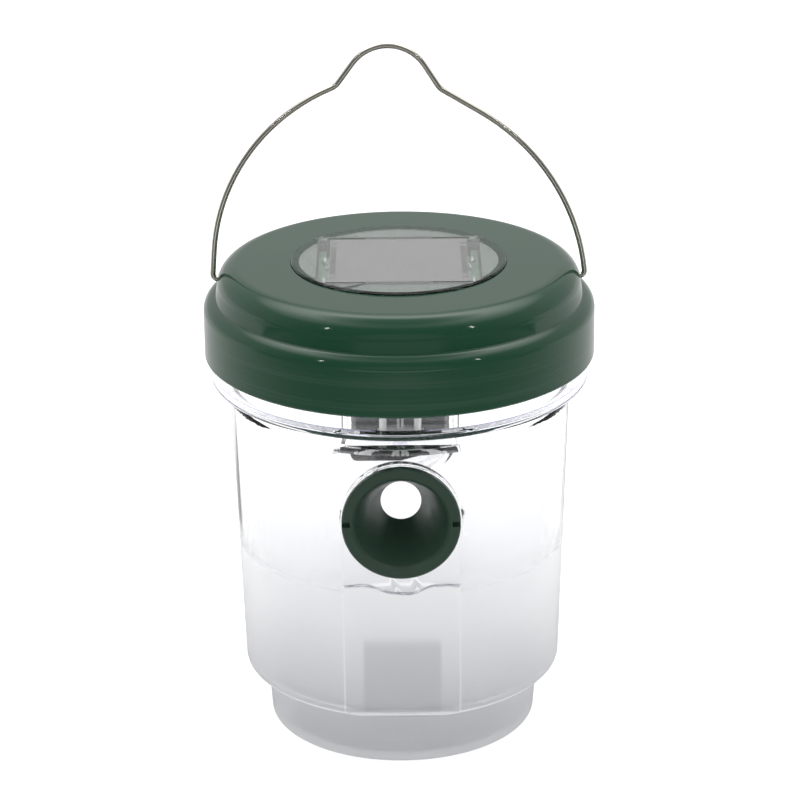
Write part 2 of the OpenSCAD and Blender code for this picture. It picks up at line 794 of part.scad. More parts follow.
// ---------------------------------------------------------------- switch
module switch_body() {
    color([0.7, 0.7, 0.72]) difference() {
        translate([-switch_w / 2, switch_y - switch_d / 2, housing_floor])
            cube([switch_w, switch_d, switch_h]);
        translate([-knob_w / 2 - switch_travel / 2 - knob_gap, switch_y - knob_d / 2 - knob_gap,
                   housing_floor - 1])
            cube([knob_w + switch_travel + 2 * knob_gap, knob_d + 2 * knob_gap, knob_in + 1 + knob_gap]);
    }
}

module switch_knob() {
    color([0.08, 0.08, 0.08])
        translate([-knob_w / 2 - switch_travel / 2, switch_y - knob_d / 2, housing_z - knob_out])
            cube([knob_w, knob_d, knob_out + housing_wall + knob_in]);
}

// ---------------------------------------------------------------- lamp
module lamp_holder() {
    color([0.25, 0.26, 0.27]) difference() {
        translate([-holder_w / 2, holder_y, housing_z - holder_h]) cube([holder_w, holder_d, holder_h]);
        // Cooling slots across the front
        for (i = [1 : fin_n])
            translate([-holder_w / 2 - 1, holder_y - 1,
                       housing_z - holder_h + i * holder_h / (fin_n + 1) - fin_slot / 2])
                cube([holder_w + 2, fin_deep + 1, fin_slot]);
    }
}

module lamp_posts() {
    color([0.92, 0.92, 0.9]) for (s = [-1, 1])
        translate([s * post_half_x, lamp_post_y, led_board_z + led_board_t])
            cylinder(r = lamp_post_r, h = housing_z - led_board_z - led_board_t);
}

module led_board() {
    color([0.93, 0.93, 0.9])
        translate([-led_board_w / 2, lamp_post_y - led_board_d / 2, led_board_z])
            cube([led_board_w, led_board_d, led_board_t]);
}

module uv_led() {
    color([0.8, 0.78, 0.95]) translate([0, lamp_post_y, led_board_z]) mirror([0, 0, 1]) {
        cylinder(r = led_rim_r, h = led_rim_t);
        cylinder(r = led_r, h = led_l - led_r);
        translate([0, 0, led_l - led_r]) sphere(led_r, $fn = 48);
    }
}

module lamp_cover() {
    color([0.88, 0.9, 0.93, 0.4]) difference() {
        union() {
            translate([0, 0, lamp_bottom]) rounded_plate(lamp_w, lamp_d, lamp_h, cover_round);
            translate([0, 0, housing_z - cover_lip_t])
                rounded_plate(lamp_w + 2 * cover_lip, lamp_d + 2 * cover_lip, cover_lip_t,
                              cover_round + cover_lip);
        }
        translate([0, 0, lamp_bottom + cover_wall])
            rounded_plate(lamp_w - 2 * cover_wall, lamp_d - 2 * cover_wall, lamp_h,
                          cover_round - cover_wall);
    }
}

// ---------------------------------------------------------------- leads
module lead(pts) {
    tube(smooth(pts), lead_r);
}

module lead_pair(pts) {
    for (k = [-1, 1]) translate([k * lead_pitch / 2, 0, 0]) lead(pts);
}

// Three points straight up or down from p, so that a lead meets a flat face squarely
function square_end(p, dz) = [p, p + [0, 0, dz], p + [0, 0, 2 * dz]];
function backwards(v) = [for (i = [len(v) - 1 : -1 : 0]) v[i]];

module cell_leads() {
    start = [0, cell_d / 2 - 2.8, cell_z];
    end = [0, board_d / 2 - 2, board_z];
    edge_y = board_d / 2 + 1.4;
    color([0.7, 0.12, 0.1]) lead_pair(concat(
        square_end(start, -0.5),
        [[0, edge_y, board_z + board_t], [0, edge_y, board_z - 1]],
        backwards(square_end(end, -1.1))));
}

module battery_leads() {
    color([0.12, 0.12, 0.13]) for (s = [-1, 1]) {
        plate_x = s < 0 ? -bay_l / 2 + contact_t / 2 : battery_x1 + contact_t / 2;
        start = [plate_x, battery_y, contact_z1];
        end = [s * 18, board_d / 2 - 9, board_z];
        lead(concat(
            square_end(start, 0.8),
            [[s * 21, battery_y - 3, contact_z1 + 6], [s * 18, board_d / 2 - 8, board_z - 6]],
            backwards(square_end(end, -1))));
    }
}

module lamp_leads() {
    hole_y = lamp_post_y + lead_hole_y;
    start = [0, lamp_post_y + 2.2, led_board_z + led_board_t];
    end = [0, lamp_post_y + 3, board_z];
    color([0.85, 0.85, 0.82]) lead_pair(concat(
        square_end(start, 1.5),
        [[0, hole_y - 0.2, housing_z - 3], [0, hole_y, housing_z + 4]],
        backwards(square_end(end, -4))));
}

jar();
entrance_funnel();
lid();
handle();
solar_window();
solar_cell();
cell_bars();
cell_pad();
module_housing();
housing_screws();
circuit_board();
board_components();
board_screws();
battery();
battery_spring();
battery_plate();
battery_door();
switch_body();
switch_knob();
lamp_holder();
lamp_posts();
led_board();
uv_led();
lamp_cover();
cell_leads();
battery_leads();
lamp_leads();
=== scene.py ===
"""Solar wasp trap: clear jar, green lid with a solar window, lure lamp, funnel and wire handle.

Units are metres in the CAD frame: origin at the centre of the jar's foot, +Z up, funnel towards -Y.
"""

import json
import math

import bmesh
import bpy
from mathutils import Matrix, Vector


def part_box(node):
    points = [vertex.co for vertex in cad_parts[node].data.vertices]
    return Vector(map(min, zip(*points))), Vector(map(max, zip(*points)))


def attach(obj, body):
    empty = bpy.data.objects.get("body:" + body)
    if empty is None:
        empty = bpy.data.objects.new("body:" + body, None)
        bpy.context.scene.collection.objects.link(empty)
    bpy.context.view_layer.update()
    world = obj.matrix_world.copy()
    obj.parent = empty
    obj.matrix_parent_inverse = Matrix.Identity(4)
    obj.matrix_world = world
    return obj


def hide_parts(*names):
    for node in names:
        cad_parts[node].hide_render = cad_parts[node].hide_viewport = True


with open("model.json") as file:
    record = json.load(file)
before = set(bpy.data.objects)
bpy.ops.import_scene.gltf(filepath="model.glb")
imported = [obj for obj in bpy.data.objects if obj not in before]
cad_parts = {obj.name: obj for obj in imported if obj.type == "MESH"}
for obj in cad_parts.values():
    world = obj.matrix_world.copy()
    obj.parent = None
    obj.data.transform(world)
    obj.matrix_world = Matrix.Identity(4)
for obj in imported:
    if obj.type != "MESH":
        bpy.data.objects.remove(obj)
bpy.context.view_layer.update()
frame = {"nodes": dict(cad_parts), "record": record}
NODES = frame["nodes"]

MM = 0.001
scene = bpy.context.scene

# ------------------------------------------------------------------ size read from the frame
LID_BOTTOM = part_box("lid")[0].z


# ------------------------------------------------------------------ camera
CAMERA_PLACE = (0.0, -0.8994, 0.4544)
CAMERA_PITCH = 21.04
CAMERA_ROLL = 0.546
CAMERA_LENS = 134.1


def make_camera():
    """The photograph's view: a long lens a little above the lid, with a slight roll."""
    data = bpy.data.cameras.new("camera")
    data.sensor_width = 36.0
    data.lens = CAMERA_LENS
    data.dof.use_dof = False
    camera = bpy.data.objects.new("camera", data)
    scene.collection.objects.link(camera)
    camera.location = CAMERA_PLACE
    aim = Matrix.Rotation(math.radians(90 - CAMERA_PITCH), 4, "X")
    camera.rotation_euler = (aim @ Matrix.Rotation(math.radians(-CAMERA_ROLL), 4, "Z")).to_euler()
    scene.camera = camera


make_camera()


# ------------------------------------------------------------------ shader helpers
class Shader:
    """One material with short calls for the nodes that its pattern needs."""

    def __init__(self, name):
        self.material = bpy.data.materials.new(name)
        self.material.use_nodes = True
        self.tree = self.material.node_tree
        self.nodes = self.tree.nodes
        self.nodes.clear()
        self.out = self.nodes.new("ShaderNodeOutputMaterial")
        self.bsdf = self.nodes.new("ShaderNodeBsdfPrincipled")
        self.link(self.bsdf.outputs[0], self.out.inputs["Surface"])
        self.place = self.nodes.new("ShaderNodeTexCoord").outputs["Object"]

    def link(self, source, target):
        self.tree.links.new(source, target)

    def feed(self, socket, value):
        if isinstance(value, bpy.types.NodeSocket):
            self.link(value, socket)
        else:
            socket.default_value = value

    def set(self, **values):
        for name, value in values.items():
            self.feed(self.bsdf.inputs[name.replace("_", " ")], value)
        return self

    def math(self, kind, a, b=0.0, clamp=False):
        node = self.nodes.new("ShaderNodeMath")
        node.operation = kind
        node.use_clamp = clamp
        self.feed(node.inputs[0], a)
        self.feed(node.inputs[1], b)
        return node.outputs[0]

    def axes(self):
        node = self.nodes.new("ShaderNodeSeparateXYZ")
        self.link(self.place, node.inputs[0])
        return node.outputs

    def step(self, value, low, high, to_low=0.0, to_high=1.0):
        """Smooth step of value from low to high."""
        node = self.nodes.new("ShaderNodeMapRange")
        node.interpolation_type = "SMOOTHSTEP"
        self.feed(node.inputs["Value"], value)
        node.inputs["From Min"].default_value = low
        node.inputs["From Max"].default_value = high
        node.inputs["To Min"].default_value = to_low
        node.inputs["To Max"].default_value = to_high
        return node.outputs["Result"]

    def band(self, value, middle, half):
        """1 where value is within half of middle, fading out over as much again."""
        away = self.math("ABSOLUTE", self.math("SUBTRACT", value, middle))
        return self.step(away, half, 2 * half, 1.0, 0.0)

    def scaled(self, x=1.0, y=1.0, z=1.0):
        node = self.nodes.new("ShaderNodeMapping")
        self.link(self.place, node.inputs["Vector"])
        node.inputs["Scale"].default_value = (x, y, z)
        return node.outputs[0]

    def noise(self, scale, detail=3.0, rough=0.5, vector=None):
        node = self.nodes.new("ShaderNodeTexNoise")
        self.link(vector or self.place, node.inputs["Vector"])
        node.inputs["Scale"].default_value = scale
        node.inputs["Detail"].default_value = detail
        node.inputs["Roughness"].default_value = rough
        return node.outputs["Fac"]

    def mix(self, factor, a, b):
        node = self.nodes.new("ShaderNodeMix")
        node.data_type = "RGBA"
        self.feed(node.inputs[0], factor)
        self.feed(node.inputs[6], a)
        self.feed(node.inputs[7], b)
        return node.outputs[2]

    def blend(self, factor, a, b):
        node = self.nodes.new("ShaderNodeMix")
        self.feed(node.inputs[0], factor)
        self.feed(node.inputs[2], a)
        self.feed(node.inputs[3], b)
        return node.outputs[0]

    def bump(self, height, distance, strength=1.0):
        node = self.nodes.new("ShaderNodeBump")
        node.inputs["Strength"].default_value = strength
        node.inputs["Distance"].default_value = distance
        self.feed(node.inputs["Height"], height)
        self.link(node.outputs[0], self.bsdf.inputs["Normal"])
        return self

    def lit_through(self, tint=(1.0, 1.0, 1.0, 1.0)):
        """Lets lamps and scattered light pass a clear moulding without caustics."""
        path = self.nodes.new("ShaderNodeLightPath")
        passing = self.math("MAXIMUM", path.outputs["Is Shadow Ray"], path.outputs["Is Diffuse Ray"])
        clear = self.nodes.new("ShaderNodeBsdfTransparent")
        clear.inputs["Color"].default_value = tint
        mixer = self.nodes.new("ShaderNodeMixShader")
        self.link(passing, mixer.inputs[0])
        self.link(self.bsdf.outputs[0], mixer.inputs[1])
        self.link(clear.outputs[0], mixer.inputs[2])
        self.link(mixer.outputs[0], self.out.inputs["Surface"])
        return self


def grey(value):
    return (value, value, value, 1.0)


# ------------------------------------------------------------------ light and finish
# Brightness of the world and the floor in mirrored rays, in front of the jar and behind it
WORLD_FRONT = 0.025
WORLD_BACK = 0.66
FLOOR_FRONT_GLOSS = 0.10
FLOOR_PATCH_GLOSS = 0.9
FLOOR_BACK_GLOSS = 0.85
FLOOR_GLOW = 0.1
# Height of the sky's bright band, as the sine of its elevation
BAND_LOW, BAND_MIDDLE, BAND_HIGH = 0.6, 0.88, 0.985
BAND_GLOW = 4.2
STRIP_GLOW = 0.2
# The same directions' Y: where the front's dark ends, the back is fully bright, and the front strip is
DARK_END, BRIGHT_START = -0.75, 0.55
STRIP_FULL, STRIP_END = -0.95, -0.84
# Middle and half sizes of the bright floor patch, in metres
PATCH_Y, PATCH_HALF_DEPTH, PATCH_HALF_WIDTH = -0.62, 0.1, 0.2
TOP_POWER = 14.0
SIDE_POWER = 2.5
STRIP_POWER = 0.5

FROST_TOP = 66 * MM
PANEL_FROST_TOP = 65.2 * MM
FROST_HIGH = (0.92, 0.922, 0.932, 1.0)
FROST_LOW = (0.555, 0.556, 0.575, 1.0)
# Grey of the darker rectangle low on the panel's middle
FROST_DARK_PATCH = (0.50, 0.503, 0.53, 1.0)
FROST_CLEARNESS = 0.82
PANEL_HALF = 18.35 * MM
FRONT_Y = -46 * MM
COLLAR_Z = 118 * MM
LEDGE_Z = 18.9 * MM
# Heights of the painted highlight line and the painted shade line on the body's edge over the foot
LEDGE_HIGHLIGHT = LEDGE_Z + 1.0 * MM
LEDGE_SHADE = LEDGE_Z - 0.9 * MM


def clear_jar_material():
    """Clear polystyrene, frosted below FROST_TOP, with a witness line where the panel's frost ends."""
    s = Shader("clear_jar")
    x, y, z = s.axes()
    side = s.math("ABSOLUTE", x)
    front = s.math("LESS_THAN", y, FRONT_Y)
    on_panel = s.math("MULTIPLY", front, s.math("LESS_THAN", side, PANEL_HALF))

    # The panel's frost ends in a line that dips in its middle; the round wall's frost fades out
    dip = s.step(side, 2.0 * MM, 11.0 * MM, 2.8 * MM, 0.0)
    wobble = s.math("MULTIPLY", s.math("SUBTRACT", s.noise(160.0, 3.0), 0.5), 1.2 * MM)
    above_line = s.math("ADD", s.math("SUBTRACT", s.math("ADD", z, dip), PANEL_FROST_TOP), wobble)
    above_wall = s.math("SUBTRACT", z, FROST_TOP)
    wall_frost = s.step(above_wall, -9.0 * MM, 7.0 * MM, 1.0, 0.0)
    panel_frost = s.step(above_line, -1.2 * MM, 0.3 * MM, 1.0, 0.0)
    frost = s.blend(on_panel, wall_frost, panel_frost)
    line = s.math("MULTIPLY", on_panel, s.band(above_line, 0.0, 0.14 * MM))
    line = s.math("MULTIPLY", line, s.step(s.noise(230.0, 2.0), 0.3, 0.6, 0.45, 1.0))

    # The frost darkens towards the foot, and darkens again in a grey rectangle low on the panel's middle
    streaks = s.noise(1.0, 4.0, 0.65, s.scaled(60.0, 60.0, 1900.0))
    foot_to_top = s.step(z, 2.0 * MM, 66.0 * MM, 0.0, 1.0)
    tone = s.mix(foot_to_top, FROST_LOW, FROST_HIGH)
    dark_patch = s.math("MULTIPLY", s.step(side, 11.5 * MM, 13.0 * MM, 1.0, 0.0),
                   s.step(z, 43.0 * MM, 48.0 * MM, 1.0, 0.0))
    dark_patch = s.math("MULTIPLY", s.math("MULTIPLY", dark_patch, front), 0.55)
    tone = s.mix(dark_patch, tone, FROST_DARK_PATCH)
    tone = s.mix(s.math("MULTIPLY", streaks, 0.12), tone, grey(1.0))
    base = s.mix(frost, (0.988, 0.99, 0.996, 1.0), tone)
    base = s.mix(line, base, (0.16, 0.16, 0.20, 1.0))

    # Painted highlight lines along the panel's edges
    edge = s.math("MULTIPLY", s.math("MULTIPLY", s.band(side, PANEL_HALF, 0.2 * MM), front), 0.6)
    base = s.mix(edge, base, grey(0.97))

    # The collar's lip gets a thin blue-grey line of painted shade for the dark it refracts; the body's
    # edge over the foot gets a painted highlight line and a painted shade line
    lip = s.band(z, COLLAR_Z - 2.0 * MM, 2.2 * MM)
    lip_painted_shade = s.math("MULTIPLY", s.band(z, COLLAR_Z, 0.3 * MM), 0.8)
    base = s.mix(lip_painted_shade, base, (0.42, 0.42, 0.58, 1.0))
    # Painted highlight line, then painted shade line, along the body's edge over the foot
    base = s.mix(s.band(z, LEDGE_HIGHLIGHT, 0.4 * MM), base, grey(1.0))
    base = s.mix(s.math("MULTIPLY", s.band(z, LEDGE_SHADE, 0.7 * MM), 0.7), base, (0.33, 0.33, 0.36, 1.0))

    grain = s.noise(2600.0, 2.0, 0.6)
    ripple = s.math("MULTIPLY", s.noise(26.0, 1.0), 0.25)
    relief = s.math("ADD", s.math("MULTIPLY", frost, s.math("ADD", grain, streaks)), ripple)
    s.set(Base_Color=base, IOR=s.blend(lip, 1.57, 1.12),
          Roughness=s.blend(frost, 0.015, s.math("ADD", 0.34, s.math("MULTIPLY", streaks, 0.12))),
          Transmission_Weight=s.blend(line, s.blend(frost, 1.0, FROST_CLEARNESS), 0.1))
    s.bump(relief, 0.05 * MM, 0.5)
    return s.lit_through((0.98, 0.983, 0.99, 1.0)).material


def clear_material(name, tint=(0.985, 0.988, 0.994, 1.0), rough=0.015, ior=1.57):
    """Clear moulded plastic with faint flow ripple."""
    s = Shader(name)
    s.set(Base_Color=tint, IOR=ior, Transmission_Weight=1.0)
    s.set(Roughness=s.step(s.noise(60.0, 3.0), 0.35, 0.75, rough, rough + 0.03))
    s.bump(s.noise(45.0, 2.0), 0.03 * MM, 0.35)
    return s.lit_through((0.96, 0.965, 0.97, 1.0)).material


def moulded_material(name, colour, rough, grain=900.0, relief=0.02, spread=0.12, coat=0.0):
    """Moulded plastic: slight colour drift, uneven gloss and fine surface texture."""
    s = Shader(name)
    drift = s.noise(35.0, 4.0)
    dark = tuple(c * (1 - spread) for c in colour) + (1.0,)
    light = tuple(min(1.0, c * (1 + spread)) for c in colour) + (1.0,)
    s.set(Base_Color=s.mix(drift, dark, light),
          Roughness=s.step(s.noise(160.0, 4.0), 0.3, 0.8, rough * 0.85, rough * 1.2))
    s.set(Coat_Weight=coat, Coat_Roughness=0.08)
    s.bump(s.noise(grain, 3.0, 0.6), relief * MM, 0.5)
    return s.material


def lid_material():
    """Glossy green moulding with faint sink rings on its skirt and long soft ripples."""
    s = Shader("green_lid")
    z = s.axes()[2]
    drift = s.noise(22.0, 4.0)
    rings = s.noise(1.0, 3.0, 0.6, s.scaled(7.0, 7.0, 700.0))
    on_skirt = s.math("SUBTRACT", 1.0, s.step(z, LID_BOTTOM + 11 * MM, LID_BOTTOM + 15 * MM))
    scuffs = s.step(s.noise(420.0, 6.0, 0.7), 0.62, 0.78)
    green = s.mix(drift, (0.0088, 0.038, 0.0195, 1.0), (0.012, 0.045, 0.0245, 1.0))
    # The skirt's sink rings are bumped, and painted lighter green as painted sheen
    ring_sheen = s.math("MULTIPLY", on_skirt, s.step(rings, 0.42, 0.72, 0.0, 0.5))
    ringed = s.math("ADD", 0.09, s.math("MULTIPLY", rings, 0.1))
    gloss = s.blend(on_skirt, 0.07, ringed)
    s.set(Base_Color=s.mix(ring_sheen, green, (0.024, 0.058, 0.040, 1.0)),
          Roughness=s.math("ADD", gloss, s.math("MULTIPLY", scuffs, 0.08)), IOR=1.5)
    relief = s.math("ADD", s.math("MULTIPLY", s.noise(30.0, 2.0), 0.35),
                    s.math("MULTIPLY", s.math("MULTIPLY", on_skirt, rings), 0.35))
    relief = s.math("ADD", relief, s.math("MULTIPLY", s.noise(700.0, 2.0), 0.02))
    s.bump(relief, 0.25 * MM, 0.35)
    return s.material


def metal_material(name, colour, rough, brushed=(1.0, 1.0, 1.0), metallic=1.0):
    """Bare metal with drawn or rolled streaks."""
    s = Shader(name)
    streak = s.noise(300.0, 5.0, 0.7, s.scaled(*brushed))
    tarnish = s.noise(120.0, 4.0)
    dull = tuple(c * 0.8 for c in colour) + (1.0,)
    s.set(Base_Color=s.mix(tarnish, dull, colour + (1.0,)), Metallic=metallic,
          Roughness=s.step(streak, 0.3, 0.75, rough * 0.7, rough * 1.35))
    s.bump(streak, 0.02 * MM, 0.4)
    return s.material


def cell_material():
    """Amorphous cell: mauve-grey film cut by fine scribe lines into strips."""
    s = Shader("cell_face")
    x = s.axes()[0]
    strip = s.math("FRACT", s.math("DIVIDE", s.math("ADD", x, 0.1), 5.0 * MM))
    scribe = s.step(s.math("ABSOLUTE", s.math("SUBTRACT", strip, 0.5)), 0.475, 0.495)
    tone = s.mix(s.noise(40.0, 3.0), (0.118, 0.108, 0.113, 1.0), (0.136, 0.126, 0.130, 1.0))
    s.set(Base_Color=s.mix(s.math("MULTIPLY", scribe, 0.35), tone, (0.08, 0.078, 0.09, 1.0)),
          Roughness=s.step(s.noise(900.0, 2.0), 0.3, 0.7, 0.5, 0.65), Specular_IOR_Level=0.2)
    s.bump(s.math("MULTIPLY", scribe, -1.0), 0.03 * MM, 0.4)
    return s.material


MATERIALS = {
    "clear_jar": clear_jar_material(),
    "green_funnel": moulded_material("green_funnel", (0.0185, 0.044, 0.028), 0.42, 1500.0, 0.03),
    "green_lid": lid_material(),
    "steel_wire": metal_material("steel_wire", (0.80, 0.77, 0.69), 0.13, (2.0, 2.0, 0.3), 0.95),
    "clear_window": clear_material("clear_window", (0.96, 0.975, 0.97, 1.0), ior=1.47),
    "cell_face": cell_material(),
    "cell_bar": moulded_material("cell_bar", (0.02, 0.019, 0.022), 0.8),
    "foam": moulded_material("foam", (0.035, 0.035, 0.036), 0.95, 2200.0, 0.2),
    "housing_plastic": moulded_material("housing_plastic", (0.03, 0.066, 0.048), 0.5, 1200.0, 0.05),
    "screw_steel": metal_material("screw_steel", (0.62, 0.62, 0.63), 0.3),
    "board_laminate": moulded_material("board_laminate", (0.02, 0.12, 0.05), 0.35, 500.0, 0.03),
    "component_black": moulded_material("component_black", (0.02, 0.02, 0.021), 0.5),
    "battery_sleeve": moulded_material("battery_sleeve", (0.04, 0.25, 0.1), 0.25, 300.0, 0.02),
    "contact_metal": metal_material("contact_metal", (0.7, 0.69, 0.66), 0.22),
    "switch_can": metal_material("switch_can", (0.6, 0.6, 0.6), 0.3),
    "knob_black": moulded_material("knob_black", (0.015, 0.015, 0.016), 0.45),
    "holder_grey": moulded_material("holder_grey", (0.085, 0.092, 0.095), 0.45, 900.0, 0.04),
    "post_white": moulded_material("post_white", (0.82, 0.82, 0.8), 0.35),
    "board_white": moulded_material("board_white", (0.84, 0.84, 0.81), 0.35),
    "led_lens": clear_material("led_lens", (0.9, 0.88, 0.98, 1.0), 0.05, 1.5),
    "clear_cover": clear_material("clear_cover"),
    "lead_red": moulded_material("lead_red", (0.42, 0.02, 0.02), 0.5),
    "lead_black": moulded_material("lead_black", (0.018, 0.018, 0.02), 0.5),
    "lead_white": moulded_material("lead_white", (0.72, 0.72, 0.7), 0.5),
}


# ------------------------------------------------------------------ pieces
BODY_OF = {node: body for body, nodes in frame["record"]["behaviour"]["bodies"].items() for node in nodes}
SLOT_OF = {entry["node"]: entry["material_slot"] for entry in frame["record"]["subparts"]}


def add_piece(name, mesh, nodes, slot=None, smooth_angle=30.0):
    """Puts a mesh in the scene as the piece that stands for the listed CAD nodes."""
    mesh.materials.clear()
    mesh.materials.append(MATERIALS[slot or SLOT_OF[nodes[0]]])
    mesh.shade_smooth()
    mesh.set_sharp_from_angle(angle=math.radians(smooth_angle))
    piece = bpy.data.objects.new(name, mesh)
    scene.collection.objects.link(piece)
    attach(piece, BODY_OF[nodes[0]])
    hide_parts(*nodes)
    return piece


def rounded_copy(node, edge=0.0, smooth_angle=30.0, segments=2):
    """The CAD node's own shape as one welded mesh, with its sharp edges rounded by edge."""
    mesh = bpy.data.meshes.new(node + "_moulded")
    work = bmesh.new()
    work.from_mesh(NODES[node].data)
    bmesh.ops.remove_doubles(work, verts=work.verts, dist=0.002 * MM)
    bmesh.ops.dissolve_degenerate(work, edges=work.edges, dist=0.002 * MM)
    bmesh.ops.dissolve_limit(work, angle_limit=math.radians(0.4), verts=work.verts, edges=work.edges)
    bmesh.ops.recalc_face_normals(work, faces=work.faces)
    work.to_mesh(mesh)
    work.free()
    piece = add_piece(node + "_moulded", mesh, [node], smooth_angle=smooth_angle)
    if edge:
        bevel = piece.modifiers.new("edges", "BEVEL")
        bevel.width = edge
        bevel.segments = segments
        bevel.limit_method = "ANGLE"
        bevel.angle_limit = math.radians(40)
        bevel.use_clamp_overlap = True
        bevel.miter_outer = "MITER_ARC"
    weighted = piece.modifiers.new("normals", "WEIGHTED_NORMAL")
    weighted.mode = "FACE_AREA"
    weighted.weight = 80
    weighted.keep_sharp = True
    return piece


# Handle: bends of the wire as (x, height above the pivots), with the radius of each bend
WIRE_R = 0.89 * MM
PIVOT_Z = 150.4
LEG_X = 59.25
PIN_END = 53.05
LEG_BEND = 1.55
FOOT_BEND = 5.0
HUMP_BEND = 13.5
HANDLE_BENDS = [(-PIN_END, 0), (-LEG_X, 0), (-55.55, 46.8), (-19.1, 62.7), (-2.2, 85.83),
                (13.3, 61.7), (55.35, 36.4), (LEG_X, 0), (PIN_END, 0)]
KNEES = (2, 6)
# A knee's bend ends this many leg bends above the pivot, and this far below the hump's foot
LEG_SPARE = 1.3
FOOT_REACH = 2.2


def rounded_path(points, radii, step=3.0):
    """Points along a polyline in a plane whose corners are rounded to the given radii."""
    path = [Vector(points[0])]
    for i in range(1, len(points) - 1):
        before, here, after = (Vector(points[k]) for k in (i - 1, i, i + 1))
        along, out = (here - before).normalized(), (after - here).normalized()
        turn = along.angle_signed(out)
        half = abs(turn) / 2
        reach = radii[i] * math.tan(half)
        side = Vector((along.y, -along.x)) * (1 if turn > 0 else -1)
        centre = here - along * reach + side * radii[i]
        count = max(3, round(math.degrees(abs(turn)) / step))
        spoke = -side
        for k in range(count + 1):
            angle = -turn * k / count
            c, s = math.cos(angle), math.sin(angle)
            path.append(centre + radii[i] * Vector((spoke.x * c - spoke.y * s, spoke.x * s + spoke.y * c)))
    path.append(Vector(points[-1]))
    return path


def tube_mesh(name, path, radius, sides=24):
    """A closed round tube along 3-D points, with rings turned as little as possible."""
    work = bmesh.new()
    rings = []
    across = Vector((0, 1, 0))
    for i, point in enumerate(path):
        ahead = (path[min(i + 1, len(path) - 1)] - path[max(i - 1, 0)]).normalized()
        across = (across - ahead * across.dot(ahead)).normalized()
        up = ahead.cross(across)
        rings.append([work.verts.new(point + radius * (math.cos(a) * across + math.sin(a) * up))
                      for a in (2 * math.pi * k / sides for k in range(sides))])
    for a, b in zip(rings, rings[1:]):
        for k in range(sides):
            work.faces.new((a[k], a[(k + 1) % sides], b[(k + 1) % sides], b[k]))
    work.faces.new(list(reversed(rings[0])))
    work.faces.new(rings[-1])
    bmesh.ops.recalc_face_normals(work, faces=work.faces)
    mesh = bpy.data.meshes.new(name)
    work.to_mesh(mesh)
    work.free()
    return mesh


def make_handle():
    """One length of drawn wire, bent to a bow with a hump, its ends turned in to the lid."""
    radii = [0, LEG_BEND, 0, FOOT_BEND, HUMP_BEND, FOOT_BEND, 0, LEG_BEND, 0]
    for i in KNEES:
        before, here, after = (Vector(HANDLE_BENDS[k]) for k in (i - 1, i, i + 1))
        half = (here - before).angle(after - here) / 2
        leg, foot = (here - before).length, (after - here).length
        if i == KNEES[1]:
            leg, foot = foot, leg
        radii[i] = min(leg - LEG_BEND * LEG_SPARE, foot - FOOT_REACH) / math.tan(half)
    path = [Vector((p.x * MM, 0, (PIVOT_Z + p.y) * MM)) for p in rounded_path(HANDLE_BENDS, radii)]
    mesh = tube_mesh("handle_wire", path, WIRE_R)
    piece = add_piece("handle_wire", mesh, ["handle"], smooth_angle=50.0)
    bevel = piece.modifiers.new("ends", "BEVEL")
    bevel.width = 0.2 * MM
    bevel.segments = 3
    bevel.limit_method = "ANGLE"
    bevel.angle_limit = math.radians(60)


MOULDED_EDGES = {
    "jar": 0.0, "entrance_funnel": 0.18, "lid": 0.15, "solar_window": 0.0, "module_housing": 0.25,
    "battery_door": 0.2, "lamp_cover": 0.0, "lamp_holder": 0.2, "lamp_posts": 0.15, "led_board": 0.08,
    "uv_led": 0.06, "circuit_board": 0.08, "board_components": 0.2, "battery": 0.35,
    "battery_plate": 0.05, "switch_body": 0.2, "switch_knob": 0.15, "solar_cell": 0.0,
    "cell_bars": 0.0, "cell_pad": 0.3, "housing_screws": 0.08, "board_screws": 0.06,
    "battery_spring": 0.0, "cell_leads": 0.0, "battery_leads": 0.0, "lamp_leads": 0.0,
}
SOFT_ANGLE = {"battery_spring": 60.0, "cell_leads": 60.0, "battery_leads": 60.0, "lamp_leads": 60.0,
              "jar": 16.0}

make_handle()
for node, edge in MOULDED_EDGES.items():
    rounded_copy(node, edge * MM, SOFT_ANGLE.get(node, 30.0))


# ------------------------------------------------------------------ stage
def mix_shader(tree, factor, first, second):
    node = tree.nodes.new("ShaderNodeMixShader")
    tree.links.new(factor, node.inputs[0])
    tree.links.new(first, node.inputs[1])
    tree.links.new(second, node.inputs[2])
    return node.outputs[0]


def mirrored_ray(tree):
    """1 for a ray that a glossy surface sent back, 0 for one that is seen, scattered or refracted."""
    path = tree.nodes.new("ShaderNodeLightPath")
    node = tree.nodes.new("ShaderNodeMath")
    node.operation = "SUBTRACT"
    node.use_clamp = True
    tree.links.new(path.outputs["Is Glossy Ray"], node.inputs[0])
    tree.links.new(path.outputs["Is Transmission Ray"], node.inputs[1])
    return node.outputs[0]


